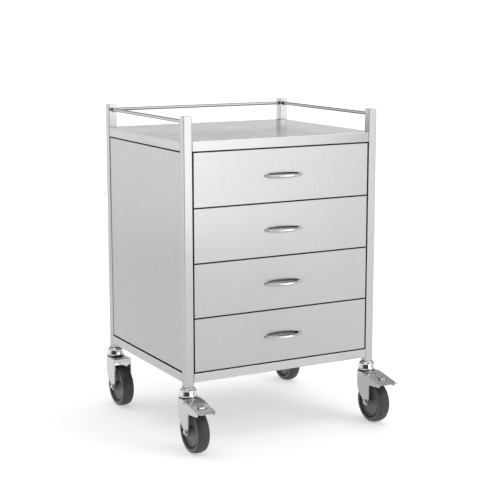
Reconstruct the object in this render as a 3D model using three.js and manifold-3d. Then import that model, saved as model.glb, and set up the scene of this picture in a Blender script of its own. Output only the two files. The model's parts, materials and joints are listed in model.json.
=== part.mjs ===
// Instrument cart: a stainless steel frame with a guard rail, four drawers on roller runners and
// four swivel casters, the front two with brake pedals.
// Millimetres, +Z up. The drawers face -Y. The origin is on the floor, under the middle of the
// whole footprint.

import * as THREE from 'three';
import { mergeVertices } from 'three/addons/utils/BufferGeometryUtils.js';
import Module from 'manifold-3d';

const wasm = await Module();
wasm.setup();

// ---- Driving dimensions ------------------------------------------------------------------

// Cabinet
const overallWidth = 620;         // over the posts, side to side
const cabinetDepth = 540;         // over the posts, front to back
const fit = 0.3;                  // gap between pieces that are welded, screwed or pressed together
const sheet = 1.2;                // thickness of the stainless sheet
const foldWidth = 12;             // turned-in edge of a folded sheet
const postSize = 25;
const postWall = 1.5;
const postCornerRadius = 2;
const railHeight = 25;            // bottom rails
const railLift = 13;              // underside of the bottom rails above the post ends
const panelInset = 2;             // side and back panels behind the faces of the posts
const panelGap = 1.5;             // open line between a panel and the posts
const skirtHeight = 27;           // turned-down edge of the top panel
const skirtInset = 0.5;
const guardHeight = 68;           // post tops above the top surface
const guardDiameter = 10;
const guardDrop = 15;             // guard rail centres below the post tops

// Drawers
const drawerCount = 4;
const drawerGap = 4;              // open line round each drawer front
const drawerFrontHeight = 149.75;
const drawerFrontThickness = 16;
const drawerInset = 1;            // drawer fronts behind the faces of the posts
const trayRearRoom = 58;          // behind a closed tray, up to the back panel
const trayTopRoom = 30;           // tray walls below the upper edge of the front
const trayLift = 9;               // tray floor above the lower edge of its front
const runnerRoom = 13;            // between the tray and the faces of the posts
const runnerHeight = 32;
const runnerLift = 36;            // runner centre above the lower edge of the front
const runnerSteel = 1.2;
const rollerWidth = 5;
const frontRollerRadius = 8;
const rearRollerRadius = 7.5;
const uprightThickness = 1.5;
const uprightWidth = 26;

// Finger pulls
const pullHalfLength = 62;
const pullHalfHeight = 9;
const pullReach = 34;             // lip in front of the drawer face
const pullRecess = 13;            // hollow behind the drawer face
const pullWall = 1.2;
const pullTip = 2;                // solid point at each end
const pullLipRise = 3.5;          // upper edge of the lip above the middle of the pull
const pullFullness = 0.62;        // 1 gives sharp tips, 0.5 an ellipse

// Casters
const wheelRadius = 62.5;
const treadWidth = 36;
const treadFlat = 14;
const coreRadius = 43;
const coreWidth = 29;
const discRecess = 2.5;
const hubRadius = 13;
const hubLength = 50;
const trail = 40;                 // axle in front of the swivel axis
const forkGap = 0.6;              // between the hub and each leg
const forkSteel = 2.8;
const hoodDrop = 28;              // rear edge of the fork below the crown
const hoodTaper = 6;
const legHeel = 5;                // rear edge of a leg, in front of the swivel axis
const legHeelHeight = 19;         // and above the axle
const legLead = 16;               // front edge of a leg, in front of the axle
const legToeHeight = 14;
const crownFlange = 9;            // turned-down front edge of a plain crown
const wheelTopGap = 22.5;         // tread to the underside of the fork crown
const axleRadius = 4;
const axleEyeRadius = 11;         // round end of each leg
const axleHeadRadius = 7;
const axleHeadThickness = 5;
const sealGap = 3;                // fork crown to the bearing cup
const cupHeight = 24.2;
const cupRadius = 26.5;
const cupTopRadius = 19;
const cupShoulder = 8;
const cupWall = 3;
const raceWall = 10;
const raceHeight = 12;
const kingPinRadius = 6;
const kingPinHeadRadius = 9;
const kingPinHeadThickness = 3.6;
const stemRadius = 9.5;
const stemLength = 45;

// Brake pedals
const armReach = 114;             // front end of the fork arms, in front of the swivel axis
const armDrop = 17;               // fall of the arms from the crown to their front end
const armTipHeight = 11;
const armRoot = 33;               // underside of the arms below the crown, next to the legs
const pedalReach = 134;
const pedalSteel = 2.2;
const pedalSideGap = 0.7;
const pedalStart = 28;            // rear edge of the pedal, in front of the swivel axis
const pedalLipRise = 5;
const pedalSlotLength = 22;
const pedalSlotWidth = 4;
const pedalTongueWidth = 16;
const pivotForward = 31;
const pivotDrop = 7.5;            // pivot below the top of the fork crown
const pivotRadius = 3;
const pivotHead = 1.6;

// Roundness of turned pieces
const postCornerSteps = 2;
const rodSides = 12;
const rollerSides = 10;
const tyreSides = 28;
const coreSides = 20;
const cupSides = 16;
const forkSides = 8;
const pullSides = 14;
const pullSteps = 8;

// ---- Levels and places worked out from them ----------------------------------------------

const crownUnderside = 2 * wheelRadius + wheelTopGap;
const crownTop = crownUnderside + forkSteel;
const cupBottom = crownTop + sealGap;
const cupTop = cupBottom + cupHeight;
const postBottom = cupTop + fit;
const railBottom = postBottom + railLift;
const railTop = railBottom + railHeight;
const frontsBottom = railTop + drawerGap;
const drawerPitch = drawerFrontHeight + drawerGap;
const skirtBottom = frontsBottom + drawerCount * drawerPitch;
const topSurface = skirtBottom + skirtHeight;
const postTop = topSurface + guardHeight;
const guardLevel = postTop - guardDrop;

const halfWidth = overallWidth / 2;
const halfDepth = cabinetDepth / 2;
const postInnerX = halfWidth - postSize;
const postInnerY = halfDepth - postSize;
const postX = halfWidth - postSize / 2;
const postY = halfDepth - postSize / 2;
const drawerFace = -halfDepth + drawerInset;
const drawerBack = drawerFace + drawerFrontThickness;
const frontHalfWidth = postInnerX - drawerGap;
const trayHalfWidth = postInnerX - runnerRoom;
const backPanelInside = halfDepth - panelInset - foldWidth;
const trayRear = backPanelInside - trayRearRoom;

const forkInner = hubLength / 2 + forkGap;
const forkOuter = forkInner + forkSteel;
const forkRear = forkOuter;
const legFront = -trail - legLead;

// ---- Materials ---------------------------------------------------------------------------

function finish(color, roughness, metalness) {
  return () => new THREE.MeshStandardMaterial({ color, roughness, metalness });
}

const satinSteel = finish(0xc9cbcc, 0.36, 1);
const sheetSteel = finish(0xcfd1d2, 0.32, 1);
const polishedChrome = finish(0xe0e3e5, 0.1, 1);
const zincSteel = finish(0xb9bdc1, 0.28, 1);
const runnerCoat = finish(0xc2c5c8, 0.45, 0.6);
const tyreRubber = finish(0x3b3c3e, 0.62, 0);
const coreResin = finish(0x58595c, 0.5, 0);

// ---- Solids: join, cut and common ---------------------------------------------------------

// A closed geometry as a solid. Faces that shrink to a line at a pole are left out.
function solidFrom(geometry) {
  const bare = geometry.clone();
  bare.deleteAttribute('normal');
  bare.deleteAttribute('uv');
  const merged = mergeVertices(bare, 1e-3);
  const corners = merged.index.array;
  const faces = [];
  for (let i = 0; i < corners.length; i += 3) {
    const [a, b, c] = [corners[i], corners[i + 1], corners[i + 2]];
    if (a !== b && b !== c && c !== a) faces.push(a, b, c);
  }
  const vertProperties = new Float32Array(merged.attributes.position.array);
  const triVerts = new Uint32Array(faces);
  return new wasm.Manifold(new wasm.Mesh({ numProp: 3, vertProperties, triVerts }));
}

function geometryFrom(solid) {
  const mesh = solid.getMesh();
  const geometry = new THREE.BufferGeometry();
  geometry.setAttribute('position', new THREE.BufferAttribute(mesh.vertProperties, 3));
  geometry.setIndex(new THREE.BufferAttribute(mesh.triVerts, 1));
  geometry.computeVertexNormals();
  return geometry;
}

function join(...geometries) {
  return geometryFrom(geometries.map(solidFrom).reduce((whole, next) => whole.add(next)));
}

function cut(geometry, ...tools) {
  return geometryFrom(tools.map(solidFrom).reduce((whole, tool) => whole.subtract(tool),
    solidFrom(geometry)));
}

function common(first, second) {
  return geometryFrom(solidFrom(first).intersect(solidFrom(second)));
}

// ---- Shapes -------------------------------------------------------------------------------

// A box between two limits on each axis.
function block([x0, x1], [y0, y1], [z0, z1]) {
  const box = new THREE.BoxGeometry(Math.abs(x1 - x0), Math.abs(y1 - y0), Math.abs(z1 - z0));
  return box.translate((x0 + x1) / 2, (y0 + y1) / 2, (z0 + z1) / 2);
}

// A folded pan: a block with a smaller block taken out of one side.
function pan(outer, inner) {
  return cut(block(...outer), block(...inner));
}

function outline(points) {
  return new THREE.Shape(points.map(([a, b]) => new THREE.Vector2(a, b)));
}

function extrude(shape, length, curveSegments = forkSides) {
  return new THREE.ExtrudeGeometry(shape, { depth: length, bevelEnabled: false, curveSegments });
}

// A shape drawn in X and Y, from one level to another.
function upright(shape, [z0, z1], steps) {
  return extrude(shape, z1 - z0, steps).translate(0, 0, z0);
}

// A shape drawn in Y and Z, from one X to another.
function across(shape, [x0, x1]) {
  const turn = new THREE.Matrix4().makeBasis(
    new THREE.Vector3(0, 1, 0), new THREE.Vector3(0, 0, 1), new THREE.Vector3(1, 0, 0));
  return extrude(shape, x1 - x0).applyMatrix4(turn).translate(x0, 0, 0);
}

// A shape drawn in X and Z, from one Y to another.
function lengthwise(shape, [y0, y1]) {
  const turn = new THREE.Matrix4().makeBasis(
    new THREE.Vector3(1, 0, 0), new THREE.Vector3(0, 0, 1), new THREE.Vector3(0, -1, 0));
  return extrude(shape, y1 - y0).applyMatrix4(turn).translate(0, y1, 0);
}

// A round bar along X, centred on a point.
function barX(radius, [x0, x1], y, z, sides) {
  const bar = new THREE.CylinderGeometry(radius, radius, x1 - x0, sides).rotateZ(Math.PI / 2);
  return bar.translate((x0 + x1) / 2, y, z);
}

// A round bar along Y, centred on a point.
function barY(radius, [y0, y1], x, z, sides) {
  const bar = new THREE.CylinderGeometry(radius, radius, y1 - y0, sides);
  return bar.translate(x, (y0 + y1) / 2, z);
}

// A piece turned round the Z axis, from [radius, height] points.
function turned(points, sides) {
  const profile = points.map(([radius, height]) => new THREE.Vector2(radius, height));
  return new THREE.LatheGeometry(profile, sides).rotateX(Math.PI / 2);
}

function roundedSquare(size, radius) {
  const half = size / 2;
  const inner = half - radius;
  const shape = new THREE.Shape();
  const corners = [[inner, inner], [-inner, inner], [-inner, -inner], [inner, -inner]];
  corners.forEach(([x, y], turn) => {
    shape.absarc(x, y, radius, turn * Math.PI / 2, (turn + 1) * Math.PI / 2, false);
  });
  shape.closePath();
  return shape;
}

// The upper edge of an almond with blunt tips, as X and height, from its left tip to its right tip.
function almondEdge(halfLength, halfHeight) {
  const edge = [];
  for (let step = 0; step <= pullSteps; step += 1) {
    const x = -Math.cos((Math.PI * step) / pullSteps);
    const atTip = step === 0 || step === pullSteps;
    edge.push([halfLength * x, atTip ? 0 : halfHeight * (1 - x * x) ** pullFullness]);
  }
  return edge;
}

function almond(halfLength, halfHeight) {
  const upper = almondEdge(halfLength, halfHeight);
  const lower = upper.slice(1, -1).reverse().map(([x, height]) => [x, -height]);
  return outline([...upper, ...lower]);
}

// ---- The group ----------------------------------------------------------------------------

const cart = new THREE.Group();

function add(name, geometry, material, parent = cart) {
  const mesh = new THREE.Mesh(geometry, material());
  mesh.name = name;
  parent.add(mesh);
  return mesh;
}

// Each corner: its name, its sides of the X and Y axes, and whether its caster has a brake.
const corners = [
  { name: 'front_left', x: -1, y: -1, braked: true },
  { name: 'front_right', x: 1, y: -1, braked: true },
  { name: 'rear_left', x: -1, y: 1, braked: false },
  { name: 'rear_right', x: 1, y: 1, braked: false },
];

const sides = [{ name: 'left', x: -1 }, { name: 'right', x: 1 }];

// ---- Frame --------------------------------------------------------------------------------

// A square tube, closed at the top and open at the foot for the caster's stem.
function post() {
  const outside = upright(roundedSquare(postSize, postCornerRadius), [postBottom, postTop],
    postCornerSteps);
  const boreSize = postSize - 2 * postWall;
  const bore = upright(roundedSquare(boreSize, postCornerRadius / 2),
    [postBottom - postWall, postTop - postWall], postCornerSteps);
  return cut(outside, bore);
}

// A square tube between two posts, along X at the origin.
function bottomRail(halfSpan) {
  const outer = postSize / 2;
  const inner = outer - postWall;
  return cut(
    block([-halfSpan, halfSpan], [-outer, outer], [railBottom, railTop]),
    block([-halfSpan - 1, halfSpan + 1], [-inner, inner],
      [railBottom + postWall, railTop - postWall]));
}

function frame() {
  for (const corner of corners) {
    add(`post_${corner.name}`, post(), satinSteel).position.set(corner.x * postX,
      corner.y * postY, 0);
  }
  add('bottom_rail_front', bottomRail(postInnerX - fit), satinSteel).position.y = -postY;
  add('bottom_rail_rear', bottomRail(postInnerX - fit), satinSteel).position.y = postY;
  for (const side of sides) {
    const rail = add(`bottom_rail_${side.name}`, bottomRail(postInnerY - fit), satinSteel);
    rail.rotation.z = Math.PI / 2;
    rail.position.x = side.x * postX;
  }
}

// The top plate is notched round the posts, and its four edges turn down and then inwards.
function topPanel() {
  const outerX = halfWidth - skirtInset;
  const outerY = halfDepth - skirtInset;
  const innerX = postInnerX - fit;
  const innerY = postInnerY - fit;
  const plate = upright(outline([
    [-innerX, -outerY], [innerX, -outerY], [innerX, -innerY], [outerX, -innerY],
    [outerX, innerY], [innerX, innerY], [innerX, outerY], [-innerX, outerY],
    [-innerX, innerY], [-outerX, innerY], [-outerX, -innerY], [-innerX, -innerY],
  ]), [topSurface - sheet, topSurface]);
  const skirt = [skirtBottom, topSurface - sheet / 2];
  const fold = [skirtBottom, skirtBottom + sheet];
  const edges = [];
  for (const way of [-1, 1]) {
    const y = way * outerY;
    const x = way * outerX;
    edges.push(block([-innerX, innerX], [y, y - way * sheet], skirt));
    edges.push(block([-innerX, innerX], [y, y - way * foldWidth], fold));
    edges.push(block([x, x - way * sheet], [-innerY, innerY], skirt));
    edges.push(block([x, x - way * foldWidth], [-innerY, innerY], fold));
  }
  return join(plate, ...edges);
}

// A shallow folded pan, open inwards, that fills the frame between two posts.
function wallPanel(halfSpan, face) {
  const low = railTop + drawerGap;
  const high = skirtBottom - drawerGap;
  return pan(
    [[-halfSpan, halfSpan], [face - foldWidth, face], [low, high]],
    [[-halfSpan + sheet, halfSpan - sheet], [face - foldWidth - 1, face - sheet],
      [low + sheet, high - sheet]]);
}

function basePanel() {
  const x = postInnerX - fit;
  const y = postInnerY - fit;
  const low = railBottom + postWall;
  const high = railTop - postWall;
  return pan(
    [[-x, x], [-y, y], [low, high]],
    [[-x + sheet, x - sheet], [-y + sheet, y - sheet], [low - 1, high - sheet]]);
}

function panels() {
  add('top_panel', topPanel(), sheetSteel);
  add('back_panel', wallPanel(postInnerX - panelGap, halfDepth - panelInset), sheetSteel);
  for (const side of sides) {
    const face = halfWidth - panelInset;
    const panel = add(`side_panel_${side.name}`, wallPanel(postInnerY - panelGap, face),
      sheetSteel);
    panel.rotation.z = -side.x * Math.PI / 2;
  }
  add('base_panel', basePanel(), sheetSteel);
}

function guardRails() {
  const radius = guardDiameter / 2;
  const spanX = [-postInnerX + fit, postInnerX - fit];
  const spanY = [-postInnerY + fit, postInnerY - fit];
  add('guard_rail_rear', barX(radius, spanX, postY, guardLevel, rodSides), satinSteel);
  for (const side of sides) {
    add(`guard_rail_${side.name}`, barY(radius, spanY, side.x * postX, guardLevel, rodSides),
      satinSteel);
  }
}

// ---- Drawers and runners ------------------------------------------------------------------

function drawerBottom(index) {
  return frontsBottom + (drawerCount - 1 - index) * drawerPitch;
}

// The pieces of a runner, from the post inwards, as distances from the middle of the cart.
const uprightOuter = postInnerX - fit;
const channelOuter = uprightOuter - uprightThickness + fit;
const channelInner = channelOuter - runnerSteel;
const slideWeb = trayHalfWidth + fit;
const slideWebOuter = slideWeb + runnerSteel;
const slideReach = channelInner - 1;
const channelTip = slideWebOuter + 1;
const runnerFront = drawerBack + 1;
const runnerRear = backPanelInside - 1;

// One side's cabinet runners: a channel and a front roller for each drawer, on two uprights.
function runnerRack(side) {
  const x = (...distances) => distances.map((distance) => side.x * distance);
  const low = drawerBottom(drawerCount - 1) + runnerLift - runnerHeight;
  const high = drawerBottom(0) + runnerLift + runnerHeight;
  const pieces = [
    block(x(uprightOuter, uprightOuter - uprightThickness),
      [runnerFront, runnerFront + uprightWidth], [low, high]),
    block(x(uprightOuter, uprightOuter - uprightThickness),
      [runnerRear - uprightWidth, runnerRear], [low, high]),
  ];
  for (let index = 0; index < drawerCount; index += 1) {
    const middle = drawerBottom(index) + runnerLift;
    const foot = middle - runnerHeight / 2;
    const head = middle + runnerHeight / 2;
    const channel = outline([
      [channelOuter, foot], [channelOuter, head], [channelTip, head],
      [channelTip, head - runnerSteel], [channelInner, head - runnerSteel],
      [channelInner, foot + runnerSteel], [channelTip, foot + runnerSteel], [channelTip, foot],
    ].map(([distance, z]) => [side.x * distance, z]));
    pieces.push(lengthwise(channel, [runnerFront, runnerRear]));
    const rollerSpan = x(channelInner + runnerSteel / 2, channelInner - rollerWidth);
    pieces.push(barX(frontRollerRadius, rollerSpan.sort((a, b) => a - b),
      runnerFront + frontRollerRadius, middle, rollerSides));
  }
  return join(...pieces);
}

// The member on the side of a tray: a web, a flange that runs on the front roller, and a roller.
function drawerRunner(side, index) {
  const middle = drawerBottom(index) + runnerLift;
  const flange = middle + frontRollerRadius + fit;
  const low = middle - runnerHeight / 2 + runnerSteel + 2;
  const section = outline([
    [slideWeb, low], [slideWeb, flange + runnerSteel], [slideReach, flange + runnerSteel],
    [slideReach, flange], [slideWebOuter, flange], [slideWebOuter, low],
  ].map(([distance, z]) => [side.x * distance, z]));
  const floor = middle - runnerHeight / 2 + runnerSteel;
  const span = [side.x * (slideWeb + runnerSteel / 2), side.x * (slideWeb + rollerWidth)];
  const roller = barX(rearRollerRadius, span.sort((a, b) => a - b), trayRear - rearRollerRadius,
    floor + fit + rearRollerRadius, rollerSides);
  return join(lengthwise(section, [drawerBack + fit, trayRear]), roller);
}

function drawerFront(index) {
  const low = drawerBottom(index);
  const high = low + drawerFrontHeight;
  const body = pan(
    [[-frontHalfWidth, frontHalfWidth], [drawerFace, drawerBack], [low, high]],
    [[-frontHalfWidth + sheet, frontHalfWidth - sheet], [drawerFace + sheet, drawerBack + 1],
      [low + sheet, high - sheet]]);
  const opening = lengthwise(almond(pullHalfLength + fit, pullHalfHeight + fit),
    [drawerFace - 1, drawerFace + 2 * sheet]);
  return cut(body, opening.translate(0, 0, (low + high) / 2));
}

function drawerTray(index) {
  const low = drawerBottom(index) + trayLift;
  const high = drawerBottom(index) + drawerFrontHeight - trayTopRoom;
  const front = drawerBack + fit;
  return pan(
    [[-trayHalfWidth, trayHalfWidth], [front, trayRear], [low, high]],
    [[-trayHalfWidth + sheet, trayHalfWidth - sheet], [front + sheet, trayRear - sheet],
      [low + sheet, high + 1]]);
}

// A spindle with pointed ends along X. It is fuller in front of the drawer face than behind it.
function spindle(halfLength, halfHeight, reach, recess) {
  const edge = almondEdge(halfLength, halfHeight);
  const profile = edge.map(([x, height]) => new THREE.Vector2(height, x));
  const geometry = new THREE.LatheGeometry(profile, pullSides).rotateZ(Math.PI / 2);
  const points = geometry.attributes.position;
  for (let i = 0; i < points.count; i += 1) {
    const y = points.getY(i);
    points.setY(i, y * (y < 0 ? reach : recess) / halfHeight);
  }
  return geometry;
}

// A pressed finger pull: a lip in front of the face, open at the top, and a hollow behind it.
function fingerPull() {
  const outer = spindle(pullHalfLength, pullHalfHeight, pullReach, pullRecess);
  const inner = spindle(pullHalfLength - pullTip, pullHalfHeight - pullWall,
    pullReach - pullWall, pullRecess - pullWall);
  const mouth = block([-pullHalfLength, pullHalfLength], [-pullReach - 1, 0],
    [pullLipRise, pullHalfHeight + 1]);
  return cut(outer, inner, mouth);
}

function drawers() {
  for (let index = 0; index < drawerCount; index += 1) {
    const name = `drawer_${index + 1}`;
    add(`${name}_front`, drawerFront(index), sheetSteel);
    add(`${name}_tray`, drawerTray(index), sheetSteel);
    const pull = add(`${name}_pull`, fingerPull(), polishedChrome);
    pull.position.set(0, drawerFace, drawerBottom(index) + drawerFrontHeight / 2);
    for (const side of sides) {
      add(`${name}_runner_${side.name}`, drawerRunner(side, index), runnerCoat);
    }
  }
  for (const side of sides) {
    add(`runner_rack_${side.name}`, runnerRack(side), runnerCoat);
  }
}

// ---- Casters ------------------------------------------------------------------------------
// Each caster is built round its own swivel axis. The wheel trails towards -Y.

// The stem in the post, the bearing cup and the king pin, riveted under the fork crown.
function bearingCup() {
  const pinTop = cupTop - cupWall * 2;
  const pinFoot = crownUnderside - fit;
  return turned([
    [0, pinFoot - kingPinHeadThickness], [kingPinHeadRadius, pinFoot - kingPinHeadThickness],
    [kingPinHeadRadius, pinFoot], [kingPinRadius, pinFoot], [kingPinRadius, pinTop],
    [cupRadius - cupWall, pinTop], [cupRadius - cupWall, cupBottom], [cupRadius, cupBottom],
    [cupRadius - cupWall / 2, cupTop - cupShoulder], [cupTopRadius, cupTop],
    [stemRadius, cupTop], [stemRadius, cupTop + stemLength],
    [0, cupTop + stemLength],
  ], cupSides);
}

// The plan of the fork: two straight legs joined by a half round at the rear.
function horseshoe(radius, reach) {
  const shape = new THREE.Shape();
  shape.moveTo(radius, -reach);
  shape.lineTo(radius, 0);
  shape.absarc(0, 0, radius, 0, Math.PI, false);
  shape.lineTo(-radius, -reach);
  shape.closePath();
  return shape;
}

// The fork from the side, in Y and Z. Braked casters have arms that reach over the wheel.
function forkSide(braked) {
  const hoodBottom = crownUnderside - hoodDrop;
  const shape = new THREE.Shape();
  shape.moveTo(forkRear + 1, crownTop);
  shape.lineTo(forkRear + 1, hoodBottom);
  shape.lineTo(forkRear / 2, hoodBottom - hoodTaper);
  shape.lineTo(-legHeel, wheelRadius + legHeelHeight);
  shape.lineTo(-trail + axleEyeRadius, wheelRadius);
  shape.absarc(-trail, wheelRadius, axleEyeRadius, 0, -Math.PI, true);
  shape.lineTo(legFront, wheelRadius + legToeHeight);
  if (braked) {
    shape.lineTo(legFront, crownTop - armRoot);
    shape.lineTo(-armReach + 2 * forkSteel, crownTop - armDrop - armTipHeight);
    shape.lineTo(-armReach, crownTop - armDrop);
    shape.lineTo(-pedalStart, crownTop);
  } else {
    shape.lineTo(legFront, crownTop);
  }
  return shape;
}

function fork(braked) {
  const reach = braked ? armReach + 1 : -legFront + 1;
  const low = wheelRadius - axleEyeRadius - 1;
  const shell = cut(
    upright(horseshoe(forkOuter, reach), [low, crownTop]),
    upright(horseshoe(forkInner, reach + 1), [low - 1, crownTop + 1]));
  const legs = common(shell, across(forkSide(braked), [-forkOuter - 1, forkOuter + 1]));
  const crownReach = braked ? pedalStart - 4 : -legFront;
  const crown = upright(horseshoe(forkOuter - forkSteel / 2, crownReach),
    [crownUnderside, crownTop]);
  const flange = block([-forkOuter + forkSteel / 2, forkOuter - forkSteel / 2],
    [-crownReach, -crownReach + forkSteel],
    [crownUnderside - (braked ? 0 : crownFlange), crownTop]);
  const race = upright(new THREE.Shape().absarc(0, 0, kingPinRadius + 2 + raceWall, 0,
    2 * Math.PI, false), [crownTop - 1, crownTop + raceHeight]);
  const pinHole = upright(new THREE.Shape().absarc(0, 0, kingPinRadius + 2 * fit, 0,
    2 * Math.PI, false), [crownUnderside - 1, crownTop + raceHeight + 1]);
  const wide = [-forkOuter - 1, forkOuter + 1];
  const holes = [pinHole, barX(axleRadius + fit, wide, -trail, wheelRadius, rodSides)];
  if (braked) {
    holes.push(barX(pivotRadius + fit, wide, -pivotForward, crownTop - pivotDrop, rodSides));
  }
  return cut(join(legs, crown, flange, race), ...holes);
}

// The bolt with its hexagon head at one side and its nut at the other.
function axleBolt() {
  const seat = forkOuter + fit;
  const end = seat + axleHeadThickness;
  return join(
    barX(axleRadius, [-end + 1, end - 1], 0, 0, rodSides),
    barX(axleHeadRadius, [-end, -seat], 0, 0, 6),
    barX(axleHeadRadius, [seat, end], 0, 0, 6));
}

// Wheel pieces are turned round Z and then laid along X, with a flat of the tread on the floor.
function wheelPiece(points, sideCount) {
  const flatToFloor = Math.PI / sideCount;
  return turned(points, sideCount).rotateZ(flatToFloor).rotateY(Math.PI / 2);
}

function tyre() {
  const half = treadWidth / 2;
  const bore = coreRadius + fit;
  const toFlat = 1 / Math.cos(Math.PI / tyreSides);
  const shoulder = wheelRadius - 4;
  const bulge = (bore + shoulder) / 2;
  const profile = [
    [bore, -coreWidth / 2], [bulge, -half], [shoulder, -half + 1],
    [wheelRadius - 1.2, -half + 5.5], [wheelRadius, -treadFlat / 2],
    [wheelRadius, treadFlat / 2], [wheelRadius - 1.2, half - 5.5], [shoulder, half - 1],
    [bulge, half], [bore, coreWidth / 2], [bore, -coreWidth / 2],
  ];
  return wheelPiece(profile.map(([radius, z]) => [radius * toFlat, z]), tyreSides);
}

function wheelCore() {
  const face = coreWidth / 2;
  const disc = face - discRecess;
  const bore = axleRadius + fit;
  const rim = coreRadius - 3;
  return wheelPiece([
    [bore, -hubLength / 2], [hubRadius, -hubLength / 2], [hubRadius + 2, -disc], [rim, -disc],
    [coreRadius, -face], [coreRadius, face], [rim, disc], [hubRadius + 2, disc],
    [hubRadius, hubLength / 2], [bore, hubLength / 2], [bore, -hubLength / 2],
  ], coreSides);
}

// A sloping plate with a bent lip and two slots, on side lugs that carry its pivot pin.
function brakePedal() {
  const half = forkInner - pedalSideGap;
  const rise = crownTop + 1;
  const bend = crownTop - armDrop - 1;
  const plateOutline = outline([
    [-pedalStart, rise], [-armReach, bend], [-pedalReach, bend + pedalLipRise],
    [-pedalReach, bend + pedalLipRise - pedalSteel], [-armReach, bend - pedalSteel],
    [-pedalStart, rise - pedalSteel],
  ]);
  const lugOutline = outline([
    [-pedalStart, rise - 1], [-pedalStart - 32, rise - 9], [-pedalStart - 8, rise - 14],
    [-pedalStart, rise - 14],
  ]);
  const pieces = [across(plateOutline, [-half, half])];
  for (const way of [-1, 1]) {
    const span = [way * half, way * (half - pedalSteel)].sort((a, b) => a - b);
    pieces.push(across(lugOutline, span));
  }
  const pinEnd = forkOuter + pivotHead;
  pieces.push(barX(pivotRadius, [-pinEnd, pinEnd], -pivotForward, crownTop - pivotDrop,
    rodSides));
  const slotMiddle = -(pedalStart + armReach) / 2 - 6;
  const slots = [-1, 1].map((way) => block(
    [way * pedalTongueWidth / 2, way * (pedalTongueWidth / 2 + pedalSlotWidth)],
    [slotMiddle - pedalSlotLength / 2, slotMiddle + pedalSlotLength / 2],
    [bend - 2 * pedalSteel, rise]));
  return cut(join(...pieces), ...slots);
}

function casters() {
  for (const corner of corners) {
    const caster = new THREE.Group();
    caster.position.set(corner.x * postX, corner.y * postY, 0);
    cart.add(caster);
    const name = `caster_${corner.name}`;
    add(`${name}_cup`, bearingCup(), polishedChrome, caster);
    add(`${name}_fork`, fork(corner.braked), zincSteel, caster);
    if (corner.braked) add(`${name}_pedal`, brakePedal(), zincSteel, caster);
    const wheel = new THREE.Group();
    wheel.position.set(0, -trail, wheelRadius);
    caster.add(wheel);
    add(`${name}_axle_bolt`, axleBolt(), zincSteel, wheel);
    add(`${name}_tyre`, tyre(), tyreRubber, wheel);
    add(`${name}_wheel_core`, wheelCore(), coreResin, wheel);
  }
}

// ---- The whole cart -----------------------------------------------------------------------

frame();
panels();
guardRails();
drawers();
casters();

// The wheels and pedals reach further to the front than anything does to the rear, so the cart
// moves back until the middle of its footprint is over the origin.
const footprint = new THREE.Box3().setFromObject(cart, true).getCenter(new THREE.Vector3());
cart.position.set(-footprint.x, -footprint.y, 0);

export default cart;
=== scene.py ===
"""Looks of the stainless instrument cart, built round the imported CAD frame.

A piece reads its place and main sizes from the boxes of the CAD nodes it stands for. Details that a
box does not give, such as bores, pins, bends and edges, are named here to agree with the CAD.
"""

import json
import math

import bmesh
import bpy
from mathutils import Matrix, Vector

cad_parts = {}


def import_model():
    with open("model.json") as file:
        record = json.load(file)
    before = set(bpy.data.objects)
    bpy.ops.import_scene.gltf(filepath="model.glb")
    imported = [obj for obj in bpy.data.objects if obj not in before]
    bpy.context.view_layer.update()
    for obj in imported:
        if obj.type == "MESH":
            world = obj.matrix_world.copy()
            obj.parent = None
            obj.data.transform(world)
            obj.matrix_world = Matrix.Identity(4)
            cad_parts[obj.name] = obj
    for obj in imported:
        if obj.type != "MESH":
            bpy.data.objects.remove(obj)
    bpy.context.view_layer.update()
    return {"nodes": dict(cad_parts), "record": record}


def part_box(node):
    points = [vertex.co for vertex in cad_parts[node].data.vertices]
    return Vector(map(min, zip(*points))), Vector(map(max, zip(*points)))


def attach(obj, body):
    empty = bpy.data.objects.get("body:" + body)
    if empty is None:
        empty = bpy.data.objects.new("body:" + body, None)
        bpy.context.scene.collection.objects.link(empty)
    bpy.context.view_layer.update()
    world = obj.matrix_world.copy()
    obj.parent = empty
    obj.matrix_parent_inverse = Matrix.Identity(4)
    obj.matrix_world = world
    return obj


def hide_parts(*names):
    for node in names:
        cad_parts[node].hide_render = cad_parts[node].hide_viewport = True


MM = 0.001

# camera, from the middle of the cabinet on the floor
CAMERA_OFFSET = Vector((-1.8516, -3.4510, 1.2130))
CAMERA_YAW = 28.73
CAMERA_PITCH = -10.347
CAMERA_LENS = 95.04
SENSOR = 36

# plain soft studio
FLOOR_RADIUS = 3.6
FLOOR_TONE = 0.8
FLOOR_GLOW = 0.46       # painted light: the white floor glows faintly though it is no lamp, which keeps its shadows pale
WORLD_STRENGTH = 0.5
WORLD_LOBES = (     # towards, inner and outer half angle in degrees, gain
    ((0.24, -0.97, 0.0), 12, 26, 2.15),
    ((0.47, 0.86, -0.24), 20, 28, 0.7),
    ((-0.50, 0.86, 0.02), 8, 20, 1.1),
    ((-0.88, 0.47, 0.1), 5, 30, 0.5),
    ((-0.66, -0.73, 0.18), 26, 48, -0.44),
)

# sheet metal edges
SHEET_EDGE = 0.6 * MM
WELD_DISTANCE = 0.01 * MM
SHARP_ANGLE = math.radians(30)

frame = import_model()
nodes = frame["nodes"]


# ---------------------------------------------------------------- materials

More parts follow.
